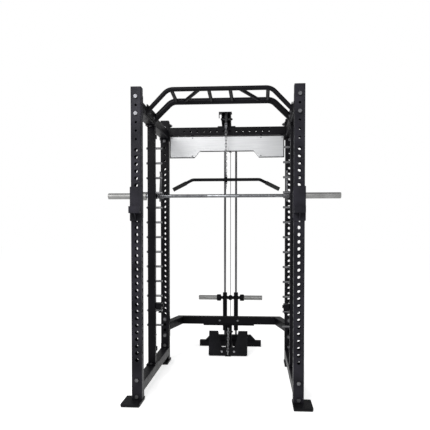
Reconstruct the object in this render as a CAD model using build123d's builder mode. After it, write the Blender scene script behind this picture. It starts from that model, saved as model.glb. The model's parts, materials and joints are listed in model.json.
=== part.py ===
"""Power cage with a Smith bar, a multi-grip pull-up bar and a plate-loaded lat tower.

The front faces -Y, +X is to the right and +Z is up. The floor is Z = 0 and the origin is
under the middle of the whole cage. All sizes are in millimetres.
"""
import os
from math import acos, atan2, cos, degrees, hypot, radians, sin

from build123d import *

os.makedirs("parts", exist_ok=True)

# ------------------------------------------------------------------ driving dimensions
CAGE_WIDTH = 1225.0        # outside of the uprights
CAGE_HEIGHT = 2250.0
UPRIGHT_PITCH = 1275.0     # front face of a front upright to front face of a rear one
TUBE = 75.0                # square tube of the main frame
WALL = 3.0
CORNER = 6.0               # outside corner radius of the square tube
FLANGE = 8.0               # end plate thickness
FRONT_REACH = 122.0        # front foot edge ahead of the front uprights
TOWER_REACH = 2140.0       # back of the tower foot behind the front uprights
DEPTH_CENTRE = (TOWER_REACH - FRONT_REACH) / 2

UPRIGHT_X = (CAGE_WIDTH - TUBE) / 2
INNER_X = UPRIGHT_X - TUBE / 2

# feet
PAD_THICK = 10.0
FOOT_THICK = 12.0
FOOT_TOP = PAD_THICK + FOOT_THICK
FOOT_SIZE = (135.0, 220.0)
FOOT_INNER_X = 533.0

# drilling of the uprights
PIN_HOLE_D = 25.0
PIN_PITCH = 50.0
PIN_TOP_Z = 1805.0
PIN_COUNT = 31
BOLT_HOLE_D = 17.0
TOP_HOLE_PITCH = 60.0
TOP_HOLE_Z = 2180.0
TOP_HOLE_COUNT = 6
FLANGE_BOLT_PITCH = 120.0

# beams
TOP_BEAM_Z = 2120.0
BOTTOM_BEAM_Z = 102.5
CROSSBEAM_Z = 2146.0
LOW_BEAM_Z = 330.0
LOW_BEAM_DEPTH = 1715.0    # front face of its middle
LOW_BEAM_CORNER_X = 488.5
LOW_BOLT_PITCH = 150.0

# Smith posts, pegs and guide rods
POST = 60.0
POST_DEPTH = 617.0         # centre of the posts and pegs
PEG_COUNT = 13
PEG_PITCH = 120.0
PEG_TOP_Z = 1900.0
PEG_D = 18.0
PEG_REACH = 57.0
STUD_D = 12.0
GUIDE_ROD_D = 25.0
GUIDE_ROD_DEPTH = 675.0
ROD_LOW_Z = 240.0
ROD_HIGH_Z = 2018.0
RUNNING_GAP = 0.05

# Smith bar
BAR_D = 28.0
BAR_DEPTH = 725.0
BAR_Z = 1520.0
BAR_LENGTH = 1924.0
SLEEVE_D = 50.0
SLEEVE_LENGTH = 292.0
HOOK_X = 525.0
HOOK_THICK = 12.0
HOOK_TURN = 45.0           # turn from the stored pose to a caught peg

# pull-up bar
FRONT_TUBE_D = 34.0
REAR_TUBE_D = 50.0
GRIP_D = 28.0
FRONT_TUBE_DEPTH = 250.0
REAR_TUBE_DEPTH = 560.0
FRONT_TUBE_Z = 2285.0
REAR_TUBE_Z = 2262.0

# lat tower
LAT_ROD_X = 58.5
LAT_ROD_D = 22.0
LAT_ROD_DEPTH = 2100.0
CABLE_D = 6.0
PULLEY_D = 104.0
GROOVE_D = 92.0
PULLEY_WIDTH = 26.0
CABLE_RADIUS = (GROOVE_D + CABLE_D) / 2
AXLE_D = 12.0
FRONT_PULLEY = (1234.0, 2245.0)     # depth, height
REAR_PULLEY = (LAT_ROD_DEPTH - CABLE_RADIUS, 2102.0)
LOW_PULLEY = (1672.0, 226.0)
LOW_PULLEY_D = 84.0
LAT_BAR_Z = 1693.0
LAT_CHAIN_TOP_Z = 2134.0
CARRIAGE_LOW_Z = 167.0
CARRIAGE_HIGH_Z = 572.0
WEIGHT_PEG_Z = 517.0
TOWER_TUBE_H = 60.0
TOWER_SEAT_Z = 118.0


# ------------------------------------------------------------------ small helpers
def y_at(depth):
    """Row Y of a distance behind the front face of the front uprights."""
    return depth - DEPTH_CENTRE


def save(piece, name):
    """Label a finished sub-part and write its STEP file."""
    piece.part.label = name
    export_step(piece.part, f"parts/{name}.step")


def along_x(x, depth, z):
    """Plane at a point, looking along +X."""
    return Plane((x, y_at(depth), z), x_dir=(0, 1, 0), z_dir=(1, 0, 0))


def along_y(x, depth, z):
    """Plane at a point, looking along +Y, with its own X along the row's X."""
    return Plane((x, y_at(depth), z), x_dir=(1, 0, 0), z_dir=(0, 1, 0))


def along_z(x, depth, z):
    """Plane at a point, looking along +Z."""
    return Plane((x, y_at(depth), z), x_dir=(1, 0, 0), z_dir=(0, 0, 1))


def tube(plane, size, length, wall=WALL, corner=CORNER):
    """Square tube along a plane's normal."""
    with BuildSketch(plane) as section:
        RectangleRounded(size, size, corner)
        RectangleRounded(size - 2 * wall, size - 2 * wall, corner - wall, mode=Mode.SUBTRACT)
    extrude(section.sketch, amount=length)


def plate(plane, width, height, thick, corner=4.0):
    """Flat plate with rounded corners, from a plane along its normal."""
    with BuildSketch(plane) as outline:
        RectangleRounded(width, height, corner)
    extrude(outline.sketch, amount=thick)


def rod(plane, diameter, length, mode=Mode.ADD):
    """Round bar along a plane's normal, or a round hole with Mode.SUBTRACT."""
    with BuildSketch(plane) as disc:
        Circle(diameter / 2)
    extrude(disc.sketch, amount=length, mode=mode)


def ring(plane, outer, inner, length):
    """Round tube along a plane's normal."""
    with BuildSketch(plane) as annulus:
        Circle(outer / 2)
        Circle(inner / 2, mode=Mode.SUBTRACT)
    extrude(annulus.sketch, amount=length)


def block(low, high, mode=Mode.ADD):
    """Box between two corners given as x, depth, z."""
    size = [b - a for a, b in zip(low, high)]
    middle = [(a + b) / 2 for a, b in zip(low, high)]
    with Locations((middle[0], y_at(middle[1]), middle[2])):
        Box(*size, mode=mode)


# ------------------------------------------------------------------ bolt places
# each bolt is head plane, shank length under the head, thread size
def flange_bolts():
    """The M16 bolts of the side beams, and the crossbeam bolts along X."""
    places = []
    grip = TUBE + FLANGE
    for side in (-1, 1):
        x = side * UPRIGHT_X
        for beam_z in (TOP_BEAM_Z, BOTTOM_BEAM_Z):
            for dz in (-FLANGE_BOLT_PITCH / 2, FLANGE_BOLT_PITCH / 2):
                places.append((along_y(x, 0, beam_z + dz), grip))
                places.append((along_y(x, UPRIGHT_PITCH - FLANGE, beam_z + dz), grip))
        for dz in (-FLANGE_BOLT_PITCH / 2, FLANGE_BOLT_PITCH / 2):
            outer = along_x(side * (INNER_X + TUBE), UPRIGHT_PITCH + TUBE / 2, CROSSBEAM_Z + dz)
            inward = Plane(outer.origin, x_dir=(0, 1, 0), z_dir=(-side, 0, 0))
            places.append((inward, grip))
    return places


def low_beam_bolts():
    """The M16 bolts that hold the low crossbeam, on wide washers over the pin holes."""
    places = []
    for side in (-1, 1):
        for dz in (-LOW_BOLT_PITCH / 2, LOW_BOLT_PITCH / 2):
            places.append((along_y(side * UPRIGHT_X, UPRIGHT_PITCH, LOW_BEAM_Z + dz), TUBE + FLANGE))
    return places


POST_BOLT_DY = 55.0


def post_bolts():
    """The vertical M12 bolts of the Smith posts."""
    places = []
    grip = TUBE + FLANGE
    top_face = TOP_BEAM_Z - TUBE / 2 - FLANGE
    low_face = BOTTOM_BEAM_Z + TUBE / 2 + FLANGE
    for side in (-1, 1):
        for dy in (-POST_BOLT_DY, POST_BOLT_DY):
            x, y = side * UPRIGHT_X, y_at(POST_DEPTH + dy)
            places.append((Plane((x, y, top_face), x_dir=(1, 0, 0), z_dir=(0, 0, 1)), grip))
            places.append((Plane((x, y, low_face), x_dir=(1, 0, 0), z_dir=(0, 0, -1)), grip))
    return places


PULL_UP_PLATE = 6.0
PULL_UP_BOLT_DEPTHS = (300.0, 480.0)


def pull_up_bolts():
    """The M12 bolts of the pull-up bar's end plates, heads inside the cage."""
    places = []
    for side in (-1, 1):
        for depth in PULL_UP_BOLT_DEPTHS:
            origin = (side * (INNER_X - PULL_UP_PLATE), y_at(depth), TOP_BEAM_Z)
            plane = Plane(origin, x_dir=(0, 1, 0), z_dir=(side, 0, 0))
            places.append((plane, TUBE + PULL_UP_PLATE))
    return places


FOOT_PLATE_TILT = 70.0
FOOT_PLATE_SIZE = (380.0, 247.0, 5.0)
FOOT_PLATE_LOW = (1555.0, 8.0)       # depth and height of its lower front edge
FOOT_BOLT_X = 60.0
FOOT_BOLT_UP = 40.0


def foot_plate_plane(up=0.0, back=0.0, x=0.0):
    """Plane on the foot plate's front face, looking backwards into the plate."""
    tilt = radians(FOOT_PLATE_TILT)
    depth = FOOT_PLATE_LOW[0] + up * cos(tilt) + back * sin(tilt)
    z = FOOT_PLATE_LOW[1] + up * sin(tilt) - back * cos(tilt)
    return Plane((x, y_at(depth), z), x_dir=(1, 0, 0), z_dir=(0, sin(tilt), -cos(tilt)))


def foot_plate_bolts():
    """The two M12 bolts of the foot plate."""
    grip = FOOT_PLATE_SIZE[2] + FLANGE
    return [(foot_plate_plane(FOOT_BOLT_UP, 0, side * FOOT_BOLT_X), grip) for side in (-1, 1)]


BEAM_BOLT_X = 90.0


def beam_plate_bolts():
    """The M12 bolts through the middle of the low crossbeam, holding the column's back plate."""
    grip = TUBE + FLANGE
    return [(along_y(side * BEAM_BOLT_X, LOW_BEAM_DEPTH, LOW_BEAM_Z), grip) for side in (-1, 1)]


WASHER = 3.0


def bolt(plane, grip, size, washer=0.0):
    """Bolt with a hex head before its washer and a shank past the clamped stack."""
    seat = plane.offset(-washer)
    with BuildSketch(seat) as hexagon:
        RegularPolygon(0.78 * size, 6, major_radius=False)
    extrude(hexagon.sketch, amount=-0.62 * size)
    rod(seat, size, washer + grip + 1.35 * size)


def nut(plane, grip, size):
    """Hex nut on the far side of the clamped stack."""
    seat = plane.offset(grip)
    with BuildSketch(seat) as hexagon:
        RegularPolygon(0.78 * size, 6, major_radius=False)
        Circle(size / 2, mode=Mode.SUBTRACT)
    extrude(hexagon.sketch, amount=0.85 * size)


M16_BOLTS = flange_bolts() + low_beam_bolts()
M12_BOLTS = post_bolts() + pull_up_bolts() + foot_plate_bolts() + beam_plate_bolts()


# ------------------------------------------------------------------ uprights
def upright(side, depth, rear):
    """One drilled upright. Pin holes run through all four faces."""
    x = side * UPRIGHT_X
    pin_rows = [PIN_TOP_Z - PIN_PITCH * k for k in range(PIN_COUNT)]
    top_rows = [TOP_HOLE_Z - TOP_HOLE_PITCH * k for k in range(TOP_HOLE_COUNT)]
    foot_rows = [BOTTOM_BEAM_Z + dz for dz in (-FLANGE_BOLT_PITCH / 2, FLANGE_BOLT_PITCH / 2)]
    with BuildPart() as post:
        tube(along_z(x, depth + TUBE / 2, FOOT_TOP), TUBE, CAGE_HEIGHT - 3 - FOOT_TOP)
        with BuildSketch(along_y(x, depth, 0)) as front_holes:
            for z in pin_rows:
                with Locations((0, -z)):
                    Circle(PIN_HOLE_D / 2)
            for z in top_rows + foot_rows + ([LOW_BEAM_Z - LOW_BOLT_PITCH / 2] if rear else []):
                with Locations((0, -z)):
                    Circle(BOLT_HOLE_D / 2)
        extrude(front_holes.sketch, amount=TUBE, mode=Mode.SUBTRACT)
        with BuildSketch(along_x(x - TUBE / 2, depth + TUBE / 2, 0)) as side_holes:
            for z in pin_rows:
                with Locations((0, z)):
                    Circle(PIN_HOLE_D / 2)
            if rear:
                for dz in (-FLANGE_BOLT_PITCH / 2, FLANGE_BOLT_PITCH / 2):
                    with Locations((0, CROSSBEAM_Z + dz)):
                        Circle(BOLT_HOLE_D / 2)
        extrude(side_holes.sketch, amount=TUBE, mode=Mode.SUBTRACT)
    return post


for row, depth in (("front", 0.0), ("rear", UPRIGHT_PITCH)):
    for hand, side in (("left", -1), ("right", 1)):
        save(upright(side, depth, row == "rear"), f"upright_{row}_{hand}")

with BuildPart() as upright_caps:
    for side in (-1, 1):
        for depth in (0.0, UPRIGHT_PITCH):
            centre = depth + TUBE / 2
            plate(along_z(side * UPRIGHT_X, centre, CAGE_HEIGHT - 3), TUBE, TUBE, 3, CORNER)
            plate(along_z(side * UPRIGHT_X, centre, CAGE_HEIGHT - 18), TUBE - 2 * WALL, TUBE - 2 * WALL, 15, 3)
save(upright_caps, "upright_caps")


# ------------------------------------------------------------------ feet
FOOT_FRONTS = (-FRONT_REACH, UPRIGHT_PITCH - 105.0)


def foot_centres():
    """Centre points of the four feet as x and depth."""
    x = FOOT_INNER_X + FOOT_SIZE[0] / 2
    return [(side * x, front + FOOT_SIZE[1] / 2) for side in (-1, 1) for front in FOOT_FRONTS]


with BuildPart() as foot_plates:
    for x, depth in foot_centres():
        plate(along_z(x, depth, PAD_THICK), FOOT_SIZE[0], FOOT_SIZE[1], FOOT_THICK, 8)
save(foot_plates, "foot_plates")

with BuildPart() as foot_pads:
    for x, depth in foot_centres():
        plate(along_z(x, depth, 0), FOOT_SIZE[0] - 4, FOOT_SIZE[1] - 4, PAD_THICK, 8)
save(foot_pads, "foot_pads")


# ------------------------------------------------------------------ beams
def side_beam(side, z, flange_low, flange_high):
    """Side beam with its two end plates."""
    x = side * UPRIGHT_X
    flange_height = flange_high - flange_low
    flange_z = (flange_high + flange_low) / 2
    with BuildPart() as beam:
        tube(along_y(x, TUBE + FLANGE, z), TUBE, UPRIGHT_PITCH - TUBE - 2 * FLANGE)
        for depth in (TUBE, UPRIGHT_PITCH - FLANGE):
            plate(along_y(x, depth, flange_z), TUBE, flange_height, FLANGE)
            for dz in (-FLANGE_BOLT_PITCH / 2, FLANGE_BOLT_PITCH / 2):
                rod(along_y(x, depth, z + dz), BOLT_HOLE_D, FLANGE, Mode.SUBTRACT)
        for dy in (-POST_BOLT_DY, POST_BOLT_DY):
            rod(along_z(x, POST_DEPTH + dy, z - TUBE), 13, 2 * TUBE, Mode.SUBTRACT)
        if z > CAGE_HEIGHT / 2:
            for depth in PULL_UP_BOLT_DEPTHS:
                rod(along_x(x - TUBE, depth, z), 13, 2 * TUBE, Mode.SUBTRACT)
    return beam


for hand, side in (("left", -1), ("right", 1)):
    top_reach = FLANGE_BOLT_PITCH / 2 + 20
    save(side_beam(side, TOP_BEAM_Z, TOP_BEAM_Z - top_reach, TOP_BEAM_Z + top_reach), f"top_side_beam_{hand}")
    low_beam = side_beam(side, BOTTOM_BEAM_Z, FOOT_TOP, BOTTOM_BEAM_Z + top_reach)
    save(low_beam, f"bottom_side_beam_{hand}")

# header panel outline, as half widths and heights
PANEL_DEPTH = 1290.0
PANEL_THICK = 3.0
PANEL_HALF = 528.0
PANEL_TOP_Z = 2106.0
PANEL_SIDE_Z = 1902.0
PANEL_MIDDLE_Z = 1959.0
PANEL_STEP_OUT_X = 297.0
PANEL_STEP_IN_X = 250.0
PANEL_SCREWS = [(x, z) for x in (-315.0, 315.0) for z in (2087.0, 1922.0)]
PANEL_SCREWS += [(x, 2087.0) for x in (-508.0, 508.0)]
STRAP = 25.0
STRAP_THICK = 5.0

with BuildPart() as rear_crossbeam:
    flange_x = INNER_X - FLANGE
    tube(along_x(-flange_x, UPRIGHT_PITCH + TUBE / 2, CROSSBEAM_Z), TUBE, 2 * flange_x)
    for start in (-INNER_X, flange_x):
        face = along_x(start, UPRIGHT_PITCH + TUBE / 2, CROSSBEAM_Z)
        plate(face, TUBE, FLANGE_BOLT_PITCH + 40, FLANGE)
        for dz in (-FLANGE_BOLT_PITCH / 2, FLANGE_BOLT_PITCH / 2):
            rod(along_x(start, UPRIGHT_PITCH + TUBE / 2, CROSSBEAM_Z + dz), BOLT_HOLE_D, FLANGE, Mode.SUBTRACT)
    with BuildSketch(along_y(0, UPRIGHT_PITCH, CROSSBEAM_Z)) as beam_holes:
        with GridLocations(TOP_HOLE_PITCH, 0, 14, 1):
            Circle(BOLT_HOLE_D / 2)
    extrude(beam_holes.sketch, amount=TUBE, mode=Mode.SUBTRACT)
    beam_bottom = CROSSBEAM_Z - TUBE / 2
    for x in (-508.0, 508.0):
        block((x - STRAP / 2, PANEL_DEPTH + PANEL_THICK, 2070),
              (x + STRAP / 2, PANEL_DEPTH + PANEL_THICK + STRAP_THICK, beam_bottom))
    for x in (-315.0, 315.0):
        block((x - STRAP / 2, PANEL_DEPTH + PANEL_THICK, 1908),
              (x + STRAP / 2, PANEL_DEPTH + PANEL_THICK + STRAP_THICK, beam_bottom))
    for x, z in PANEL_SCREWS:
        rod(along_y(x, PANEL_DEPTH, z), 5, 12, Mode.SUBTRACT)
save(rear_crossbeam, "rear_crossbeam")

with BuildPart() as header_panel:
    with BuildSketch(along_y(0, PANEL_DEPTH, 0)) as outline:
        with BuildLine():
            Polyline((-PANEL_HALF, -PANEL_TOP_Z), (PANEL_HALF, -PANEL_TOP_Z), (PANEL_HALF, -PANEL_SIDE_Z),
                     (PANEL_STEP_OUT_X, -PANEL_SIDE_Z), (PANEL_STEP_IN_X, -PANEL_MIDDLE_Z),
                     (-PANEL_STEP_IN_X, -PANEL_MIDDLE_Z), (-PANEL_STEP_OUT_X, -PANEL_SIDE_Z),
                     (-PANEL_HALF, -PANEL_SIDE_Z), close=True)
        make_face()
        fillet(outline.vertices(), 4)
        for x, z in PANEL_SCREWS:
            with Locations((x, -z)):
                Circle(2.5, mode=Mode.SUBTRACT)
    extrude(amount=PANEL_THICK)
save(header_panel, "header_panel")

with BuildPart() as panel_screws:
    for x, z in PANEL_SCREWS:
        rod(along_y(x, PANEL_DEPTH - 3, z), 11, 3)
        rod(along_y(x, PANEL_DEPTH, z), 5, 11)
    chamfer(panel_screws.faces().filter_by(Axis.Y).group_by(Axis.Y)[0].edges(), 1)
save(panel_screws, "panel_screws")

# low crossbeam: a straight middle and two arms that splay out to the rear uprights
arm_run = LOW_BEAM_DEPTH + TUBE / 2 - UPRIGHT_PITCH - TUBE
arm_turn = degrees(atan2(arm_run, UPRIGHT_X - LOW_BEAM_CORNER_X))
mitre_turn = arm_turn / 2
LOW_PLATE_HALF = 254.0
LOW_PLATE_THICK = 12.0


def mitre_plane(side):
    """Vertical plane through a corner of the low crossbeam, facing its arm."""
    half = radians(mitre_turn)
    origin = (side * LOW_BEAM_CORNER_X, y_at(LOW_BEAM_DEPTH + TUBE / 2), LOW_BEAM_Z)
    return Plane(origin, x_dir=(0, 0, 1), z_dir=(side * cos(half), -sin(half), 0))


with BuildPart() as low_crossbeam:
    reach = LOW_BEAM_CORNER_X + TUBE
    tube(along_x(-reach, LOW_BEAM_DEPTH + TUBE / 2, LOW_BEAM_Z), TUBE, 2 * reach)
    for side in (-1, 1):
        split(bisect_by=mitre_plane(side), keep=Keep.BOTTOM)
    under = LOW_BEAM_Z - TUBE / 2 - LOW_PLATE_THICK
    plate(along_z(0, LOW_BEAM_DEPTH + TUBE / 2, under), 2 * LOW_PLATE_HALF, TUBE, LOW_PLATE_THICK)
    for side in (-1, 1):
        rod(along_y(side * BEAM_BOLT_X, LOW_BEAM_DEPTH, LOW_BEAM_Z), 13, TUBE, Mode.SUBTRACT)
save(low_crossbeam, "low_crossbeam")


def low_arm(side):
    """Splayed arm of the low crossbeam with its end plate behind a rear upright."""
    start_depth = UPRIGHT_PITCH + TUBE
    start = Vector(side * UPRIGHT_X, y_at(start_depth), LOW_BEAM_Z)
    corner = Vector(side * LOW_BEAM_CORNER_X, y_at(LOW_BEAM_DEPTH + TUBE / 2), LOW_BEAM_Z)
    way = (corner - start).normalized()
    with BuildPart() as arm:
        tube(Plane(start - way * TUBE, x_dir=(0, 0, 1), z_dir=way), TUBE, (corner - start).length + 2 * TUBE)
        split(bisect_by=mitre_plane(side), keep=Keep.TOP)
        split(bisect_by=along_y(0, start_depth + FLANGE / 2, 0), keep=Keep.TOP)
        plate(along_y(side * UPRIGHT_X, start_depth, LOW_BEAM_Z), TUBE, LOW_BOLT_PITCH + 45, FLANGE)
        for dz in (-LOW_BOLT_PITCH / 2, LOW_BOLT_PITCH / 2):
            rod(along_y(side * UPRIGHT_X, start_depth, LOW_BEAM_Z + dz), BOLT_HOLE_D, FLANGE, Mode.SUBTRACT)
    return arm


for hand, side in (("left", -1), ("right", 1)):
    save(low_arm(side), f"low_crossbeam_arm_{hand}")


# ------------------------------------------------------------------ Smith posts
PEG_ROWS = [PEG_TOP_Z - PEG_PITCH * k for k in range(PEG_COUNT)]
POST_INNER_X = UPRIGHT_X - POST / 2
POST_OUTER_X = UPRIGHT_X + POST / 2
POST_BACK = POST_DEPTH + POST / 2


def smith_post(side):
    """Smith post with end plates, drilled for the peg studs."""
    x = side * UPRIGHT_X
    low = BOTTOM_BEAM_Z + TUBE / 2
    high = TOP_BEAM_Z - TUBE / 2
    with BuildPart() as post:
        tube(along_z(x, POST_DEPTH, low + FLANGE), POST, high - low - 2 * FLANGE, WALL, 5)
        for z in (low, high - FLANGE):
            plate(along_z(x, POST_DEPTH, z), TUBE, 2 * POST_BOLT_DY + 40, FLANGE)
            for dy in (-POST_BOLT_DY, POST_BOLT_DY):
                rod(along_z(x, POST_DEPTH + dy, z), 13, FLANGE, Mode.SUBTRACT)
        with BuildSketch(along_x(x - POST, POST_DEPTH, 0)) as stud_holes:
            for z in PEG_ROWS:
                with Locations((0, z)):
                    Circle(STUD_D / 2)
        extrude(stud_holes.sketch, amount=2 * POST, mode=Mode.SUBTRACT)
    return post


for hand, side in (("left", -1), ("right", 1)):
    save(smith_post(side), f"smith_post_{hand}")

with BuildPart() as smith_pegs:
    for side in (-1, 1):
        inward = Plane((side * POST_INNER_X, y_at(POST_DEPTH), 0), x_dir=(0, -side, 0), z_dir=(-side, 0, 0))
        with BuildSketch(inward) as peg_discs:
            for z in PEG_ROWS:
                with Locations((0, z)):
                    Circle(PEG_D / 2)
        extrude(peg_discs.sketch, amount=PEG_REACH)
        with BuildSketch(inward) as stud_discs:
            for z in PEG_ROWS:
                with Locations((0, z)):
                    Circle(STUD_D / 2)
        extrude(stud_discs.sketch, amount=-(POST + 14))
    tips = smith_pegs.edges().filter_by(GeomType.CIRCLE).filter_by(lambda e: abs(e.radius - PEG_D / 2) < 0.1)
    chamfer(tips.filter_by(lambda e: abs(e.center().X) < POST_INNER_X - 1), 1.5)
save(smith_pegs, "smith_pegs")

with BuildPart() as peg_nuts:
    for side in (-1, 1):
        outward = Plane((side * POST_OUTER_X, y_at(POST_DEPTH), 0), x_dir=(0, side, 0), z_dir=(side, 0, 0))
        with BuildSketch(outward) as nut_sections:
            for z in PEG_ROWS:
                with Locations((0, z)):
                    RegularPolygon(9.5, 6, major_radius=False)
                    Circle(STUD_D / 2, mode=Mode.SUBTRACT)
        extrude(nut_sections.sketch, amount=10)
save(peg_nuts, "peg_nuts")

with BuildPart() as guide_rods:
    for side in (-1, 1):
        rod(along_z(side * UPRIGHT_X, GUIDE_ROD_DEPTH, ROD_LOW_Z), GUIDE_ROD_D, ROD_HIGH_Z - ROD_LOW_Z)
save(guide_rods, "guide_rods")

BRACKET_TALL = 34.0
with BuildPart() as rod_brackets:
    for side in (-1, 1):
        for z in (ROD_LOW_Z, ROD_HIGH_Z - BRACKET_TALL):
            with BuildSketch(along_z(side * UPRIGHT_X, GUIDE_ROD_DEPTH, z)) as clamp:
                Circle(GUIDE_ROD_D / 2 + 9)
                with Locations((side * -2, (POST_BACK - GUIDE_ROD_DEPTH) / 2)):
                    Rectangle(POST + 4, GUIDE_ROD_DEPTH - POST_BACK)
                Circle(GUIDE_ROD_D / 2, mode=Mode.SUBTRACT)
            extrude(clamp.sketch, amount=BRACKET_TALL)
save(rod_brackets, "rod_brackets")

BUMPER_TALL = 100.0
with BuildPart() as rod_bumpers:
    for side in (-1, 1):
        x = side * UPRIGHT_X
        low = ROD_LOW_Z + BRACKET_TALL
        ring(along_z(x, GUIDE_ROD_DEPTH, low), 42, GUIDE_ROD_D, BUMPER_TALL - 12)
        ring(along_z(x, GUIDE_ROD_DEPTH, low + BUMPER_TALL - 12), 52, GUIDE_ROD_D, 12)
        ring(along_z(x, GUIDE_ROD_DEPTH, ROD_HIGH_Z - BRACKET_TALL - 20), 46, GUIDE_ROD_D, 20)
save(rod_bumpers, "rod_bumpers")


# ------------------------------------------------------------------ fasteners
with BuildPart() as frame_bolts:
    for plane, grip in M16_BOLTS:
        bolt(plane, grip, 16, WASHER)
    for plane, grip in M12_BOLTS:
        bolt(plane, grip, 12)
save(frame_bolts, "frame_bolts")

with BuildPart() as frame_nuts:
    for plane, grip in M16_BOLTS:
        nut(plane, grip, 16)
    for plane, grip in M12_BOLTS:
        nut(plane, grip, 12)
save(frame_nuts, "frame_nuts")

with BuildPart() as frame_washers:
    for plane, grip in flange_bolts():
        ring(plane.offset(-WASHER), 30, 16, WASHER)
    for plane, grip in low_beam_bolts():
        ring(plane.offset(-WASHER), 42, 16, WASHER)
save(frame_washers, "frame_washers")


# ------------------------------------------------------------------ pull-up bar
def bent_bar(points, radius, outer, inner=0.0, mode=Mode.ADD):
    """Round tube or bar swept along straight runs joined by tangent arcs."""
    with BuildLine() as route:
        FilletPolyline(*points, radius=radius)
    with BuildSketch(Plane(route.line @ 0, z_dir=route.line % 0)) as section:
        Circle(outer / 2)
        if inner:
            Circle(inner / 2, mode=Mode.SUBTRACT)
    sweep(section.sketch, path=route.line, mode=mode)


PULL_UP_END_Z = 2132.0
PULL_UP_PLATE_X = INNER_X - PULL_UP_PLATE
PULL_UP_TUBES = {
    "front": (FRONT_TUBE_DEPTH, FRONT_TUBE_Z, 384.0, FRONT_TUBE_D),
    "rear": (REAR_TUBE_DEPTH, REAR_TUBE_Z, 398.0, REAR_TUBE_D),
}


def pull_up_route(depth, high_z, corner_x):
    """Points of a pull-up tube from past one end plate to past the other."""
    slope = (high_z - PULL_UP_END_Z) / (PULL_UP_PLATE_X - corner_x)
    over = 45.0
    end = (PULL_UP_PLATE_X + over, PULL_UP_END_Z - slope * over)
    half = [(end[0], y_at(depth), end[1]), (corner_x, y_at(depth), high_z)]
    return [(-x, y, z) for x, y, z in half] + half[::-1]


for name, (depth, high_z, corner_x, outer) in PULL_UP_TUBES.items():
    with BuildPart() as pull_up_tube:
        bent_bar(pull_up_route(depth, high_z, corner_x), 90, outer, outer - 6)
        for side in (-1, 1):
            cut = Plane((side * PULL_UP_PLATE_X, 0, 0), x_dir=(0, 1, 0), z_dir=(side, 0, 0))
            split(bisect_by=cut, keep=Keep.BOTTOM)
    save(pull_up_tube, f"pull_up_{name}_tube")

# front x and rear x of the grips on the right hand side
GRIP_ENDS = [(80.0, 82.0), (145.0, 300.0), (360.0, 362.0)]

with BuildPart() as pull_up_grips:
    for side in (-1, 1):
        for front_x, rear_x in GRIP_ENDS:
            start = Vector(side * front_x, y_at(FRONT_TUBE_DEPTH), FRONT_TUBE_Z)
            stop = Vector(side * rear_x, y_at(REAR_TUBE_DEPTH), REAR_TUBE_Z)
            rod(Plane(start, z_dir=stop - start), GRIP_D, (stop - start).length)
    for depth, high_z, corner_x, outer in PULL_UP_TUBES.values():
        bent_bar(pull_up_route(depth, high_z, corner_x), 90, outer, mode=Mode.SUBTRACT)
save(pull_up_grips, "pull_up_grips")

with BuildPart() as pull_up_plates:
    for side in (-1, 1):
        depth = (FRONT_TUBE_DEPTH + REAR_TUBE_DEPTH) / 2
        inward = Plane((side * INNER_X, y_at(depth), PULL_UP_END_Z), x_dir=(0, 1, 0), z_dir=(-side, 0, 0))
        plate(inward, 390, 80, PULL_UP_PLATE, 10)
        for bolt_depth in PULL_UP_BOLT_DEPTHS:
            rod(along_x(side * INNER_X - 20, bolt_depth, TOP_BEAM_Z), 13, 40, Mode.SUBTRACT)
save(pull_up_plates, "pull_up_plates")


# ------------------------------------------------------------------ lat tower, fixed parts
CROSSBEAM_TOP = CROSSBEAM_Z + TUBE / 2
CHEEK = 6.0
FRONT_CHEEK_X = 36.0
REAR_CHEEK_X = 25.0
LOW_CHEEK_X = 24.0
COVER_Z = 2300.0

with BuildPart() as top_pulley_bracket:
    base_z = CROSSBEAM_TOP
    block((-81, UPRIGHT_PITCH, base_z), (81, UPRIGHT_PITCH + TUBE, base_z + FLANGE))
    for x in (-FRONT_CHEEK_X - CHEEK, FRONT_CHEEK_X):
        with BuildSketch(along_x(x, 0, 0)) as cheek:
            with BuildLine():
                Polyline((1278, base_z + FLANGE), (1335, base_z + FLANGE), (1300, COVER_Z), (1195, COVER_Z),
                         (1195, 2222), close=True)
            make_face()
            fillet(cheek.vertices().group_by(Axis.Y)[0], 8)
            with Locations(FRONT_PULLEY):
                Circle(AXLE_D / 2, mode=Mode.SUBTRACT)
        extrude(cheek.sketch, amount=CHEEK)
    block((-FRONT_CHEEK_X, 1292, base_z + FLANGE), (FRONT_CHEEK_X, 1298, COVER_Z))
    block((-9, 1291, COVER_Z - 34), (9, 1299, COVER_Z), Mode.SUBTRACT)
    block((-66, 1195, COVER_Z), (50, 1300, COVER_Z + CHEEK))
    block((-66, 1195, COVER_Z - 50), (-60, 1215, COVER_Z))
save(top_pulley_bracket, "top_pulley_bracket")

BOOM = 50.0
BOOM_Z = 2134.0
BOOM_END = 1955.0
HEAD_LOW_Z = 2070.0
HEAD_TOP_Z = 2160.0

with BuildPart() as lat_boom:
    start = UPRIGHT_PITCH + TUBE
    plate(along_y(0, start, CROSSBEAM_Z), 130, TUBE, FLANGE)
    tube(along_y(0, start + FLANGE, BOOM_Z), BOOM, BOOM_END - start - FLANGE, WALL, 4)
    for x in (-REAR_CHEEK_X - CHEEK, REAR_CHEEK_X):
        with BuildSketch(along_x(x, 0, 0)) as cheek:
            with BuildLine():
                Polyline((1880, BOOM_Z - 25), (1960, HEAD_LOW_Z), (2130, HEAD_LOW_Z), (2130, HEAD_TOP_Z),
                         (1880, HEAD_TOP_Z), close=True)
            make_face()
            with Locations(REAR_PULLEY):
                Circle(AXLE_D / 2, mode=Mode.SUBTRACT)
        extrude(cheek.sketch, amount=CHEEK)
    block((-90, 2065, HEAD_TOP_Z), (90, 2130, HEAD_TOP_Z + 10))
save(lat_boom, "lat_boom")

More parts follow.
